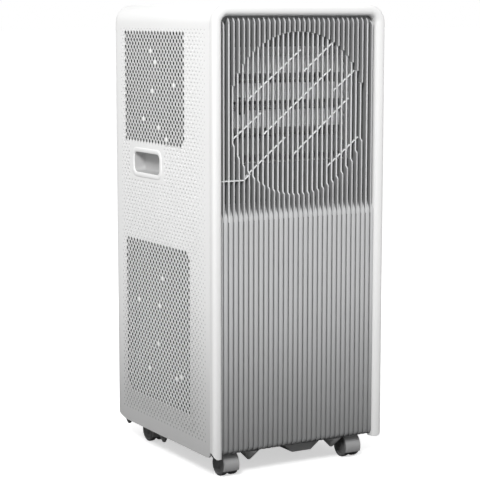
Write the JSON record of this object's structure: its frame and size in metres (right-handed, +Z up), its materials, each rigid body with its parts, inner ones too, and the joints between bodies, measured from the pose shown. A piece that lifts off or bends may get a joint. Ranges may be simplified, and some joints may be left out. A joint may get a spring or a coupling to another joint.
{
  "type": "portable air conditioner",
  "caption": "Upright white cabinet on castors with a grey ribbed front, round grille recess, perforated side vents, side grips and a top control panel.",
  "frame": {"origin": "on the floor, under the middle of the cabinet", "axes": "+Z up, the ribbed front faces -Y, +X is to the right seen from the front"},
  "size_m": [0.3, 0.334, 0.7],
  "materials": {
    "white_shell": "satin moulded white plastic",
    "grey_front": "fine satin grey plastic",
    "panel_grey": "gloss light grey plastic",
    "button_white": "satin white caps",
    "display_black": "smoked gloss window",
    "dark_plastic": "dark grey moulded plastic",
    "castor_grey": "mid grey moulded nylon",
    "wheel_rubber": "dark wheel tread",
    "black_rubber": "black rubber",
    "steel": "zinc plated steel",
    "aluminium_fins": "thin aluminium fins",
    "copper": "drawn copper tube",
    "black_enamel": "black enamelled steel",
    "board_green": "green circuit board"
  },
  "bodies": {
    "cabinet": {"cabinet_shell": "white_shell", "front_bezel": "white_shell", "front_panel": "grey_front", "rear_panel": "white_shell", "base_tray": "dark_plastic", "left_handle_cup": "white_shell", "right_handle_cup": "white_shell", "top_panel": "panel_grey", "display_window": "display_black", "control_board": "board_green", "outlet_duct": "dark_plastic", "louvre_motor": "steel", "sensor_bracket": "dark_plastic", "blower_scroll": "dark_plastic", "fan_bearing": "black_rubber", "fan_motor": "steel", "evaporator_coil": "aluminium_fins", "condensate_tray": "dark_plastic", "condenser_scroll": "dark_plastic", "condenser_motor": "steel", "condenser_coil": "aluminium_fins", "exhaust_collar": "white_shell", "compressor": "black_enamel", "compressor_grommet_1": "black_rubber", "compressor_grommet_2": "black_rubber", "compressor_grommet_3": "black_rubber", "accumulator": "black_enamel", "suction_pipe": "copper", "discharge_pipe": "copper", "control_box": "steel", "run_capacitor": "aluminium_fins", "cord_gland": "dark_plastic"},
    "filter_door": {"rear_filter_door": "white_shell", "rear_filter_mesh": "dark_plastic"},
    "drain_plug": {"drain_plug": "black_rubber"},
    "power_button": {"power_button": "button_white"},
    "mode_button": {"mode_button": "button_white"},
    "fan_speed_button": {"fan_speed_button": "button_white"},
    "up_button": {"up_button": "button_white"},
    "down_button": {"down_button": "button_white"},
    "timer_button": {"timer_button": "button_white"},
    "louvre_1": {"louvre_blade_1": "grey_front"},
    "louvre_2": {"louvre_blade_2": "grey_front"},
    "louvre_3": {"louvre_blade_3": "grey_front"},
    "louvre_4": {"louvre_blade_4": "grey_front"},
    "louvre_link": {"louvre_link": "dark_plastic"},
    "fan_rotor": {"fan_wheel": "dark_plastic", "fan_shaft": "steel"},
    "condenser_rotor": {"condenser_wheel": "dark_plastic", "condenser_shaft": "steel"},
    "castor_front_left": {"castor_front_left_hood": "castor_grey"},
    "castor_front_left_roller": {"castor_front_left_wheels": "wheel_rubber"},
    "castor_front_right": {"castor_front_right_hood": "castor_grey"},
    "castor_front_right_roller": {"castor_front_right_wheels": "wheel_rubber"},
    "castor_rear_left": {"castor_rear_left_hood": "castor_grey"},
    "castor_rear_left_roller": {"castor_rear_left_wheels": "wheel_rubber"},
    "castor_rear_right": {"castor_rear_right_hood": "castor_grey"},
    "castor_rear_right_roller": {"castor_rear_right_wheels": "wheel_rubber"}
  },
  "joints": [
    {"name": "filter_door_tilt", "type": "hinge", "parent": "cabinet", "child": "filter_door", "pos_m": [0, 0.164, 0.448], "axis": [-1, 0, 0], "range_deg": [0, 75]},
    {"name": "drain_plug_pull", "type": "slide", "parent": "cabinet", "child": "drain_plug", "axis": [0, 1, 0], "range_m": [0, 0.02]},
    {"name": "power_press", "type": "slide", "parent": "cabinet", "child": "power_button", "axis": [0, 0, -1], "range_m": [0, 0.0012], "stiffness_N_per_m": 600, "springref_m": -0.0005},
    {"name": "mode_press", "type": "slide", "parent": "cabinet", "child": "mode_button", "axis": [0, 0, -1], "range_m": [0, 0.0012], "stiffness_N_per_m": 600, "springref_m": -0.0005},
    {"name": "fan_speed_press", "type": "slide", "parent": "cabinet", "child": "fan_speed_button", "axis": [0, 0, -1], "range_m": [0, 0.0012], "stiffness_N_per_m": 600, "springref_m": -0.0005},
    {"name": "up_press", "type": "slide", "parent": "cabinet", "child": "up_button", "axis": [0, 0, -1], "range_m": [0, 0.0012], "stiffness_N_per_m": 600, "springref_m": -0.0005},
    {"name": "down_press", "type": "slide", "parent": "cabinet", "child": "down_button", "axis": [0, 0, -1], "range_m": [0, 0.0012], "stiffness_N_per_m": 600, "springref_m": -0.0005},
    {"name": "timer_press", "type": "slide", "parent": "cabinet", "child": "timer_button", "axis": [0, 0, -1], "range_m": [0, 0.0012], "stiffness_N_per_m": 600, "springref_m": -0.0005},
    {"name": "louvre_1_tilt", "type": "hinge", "parent": "cabinet", "child": "louvre_1", "pos_m": [0, -0.119, 0.612], "axis": [1, 0, 0], "range_deg": [-35, 35]},
    {"name": "louvre_2_tilt", "type": "hinge", "parent": "cabinet", "child": "louvre_2", "pos_m": [0, -0.119, 0.572], "axis": [1, 0, 0], "range_deg": [-35, 35]},
    {"name": "louvre_3_tilt", "type": "hinge", "parent": "cabinet", "child": "louvre_3", "pos_m": [0, -0.119, 0.532], "axis": [1, 0, 0], "range_deg": [-35, 35]},
    {"name": "louvre_4_tilt", "type": "hinge", "parent": "cabinet", "child": "louvre_4", "pos_m": [0, -0.119, 0.492], "axis": [1, 0, 0], "range_deg": [-35, 35]},
    {"name": "louvre_link_pivot", "type": "hinge", "parent": "louvre_1", "child": "louvre_link", "pos_m": [-0.102, -0.109, 0.612], "axis": [1, 0, 0], "range_deg": [-35, 35]},
    {"name": "fan_spin", "type": "hinge", "parent": "cabinet", "child": "fan_rotor", "pos_m": [0, -0.038, 0.548], "axis": [1, 0, 0], "continuous": true},
    {"name": "condenser_fan_spin", "type": "hinge", "parent": "cabinet", "child": "condenser_rotor", "pos_m": [-0.008, 0.05, 0.19], "axis": [0, 1, 0], "continuous": true},
    {"name": "castor_front_left_swivel", "type": "hinge", "parent": "cabinet", "child": "castor_front_left", "pos_m": [-0.109, -0.119, 0.045], "axis": [0, 0, 1], "continuous": true},
    {"name": "castor_front_left_roll", "type": "hinge", "parent": "castor_front_left", "child": "castor_front_left_roller", "pos_m": [-0.109, -0.13, 0.0175], "axis": [1, 0, 0], "continuous": true},
    {"name": "castor_front_right_swivel", "type": "hinge", "parent": "cabinet", "child": "castor_front_right", "pos_m": [0.109, -0.119, 0.045], "axis": [0, 0, 1], "continuous": true},
    {"name": "castor_front_right_roll", "type": "hinge", "parent": "castor_front_right", "child": "castor_front_right_roller", "pos_m": [0.109, -0.13, 0.0175], "axis": [1, 0, 0], "continuous": true},
    {"name": "castor_rear_left_swivel", "type": "hinge", "parent": "cabinet", "child": "castor_rear_left", "pos_m": [-0.109, 0.115, 0.045], "axis": [0, 0, 1], "continuous": true},
    {"name": "castor_rear_left_roll", "type": "hinge", "parent": "castor_rear_left", "child": "castor_rear_left_roller", "pos_m": [-0.109, 0.104, 0.0175], "axis": [1, 0, 0], "continuous": true},
    {"name": "castor_rear_right_swivel", "type": "hinge", "parent": "cabinet", "child": "castor_rear_right", "pos_m": [0.109, 0.115, 0.045], "axis": [0, 0, 1], "continuous": true},
    {"name": "castor_rear_right_roll", "type": "hinge", "parent": "castor_rear_right", "child": "castor_rear_right_roller", "pos_m": [0.109, 0.104, 0.0175], "axis": [1, 0, 0], "continuous": true}
  ],
  "couplings": [
    {"joint": "louvre_2_tilt", "follows": "louvre_1_tilt", "ratio": 1},
    {"joint": "louvre_3_tilt", "follows": "louvre_1_tilt", "ratio": 1},
    {"joint": "louvre_4_tilt", "follows": "louvre_1_tilt", "ratio": 1},
    {"joint": "louvre_link_pivot", "follows": "louvre_1_tilt", "ratio": -1}
  ]
}
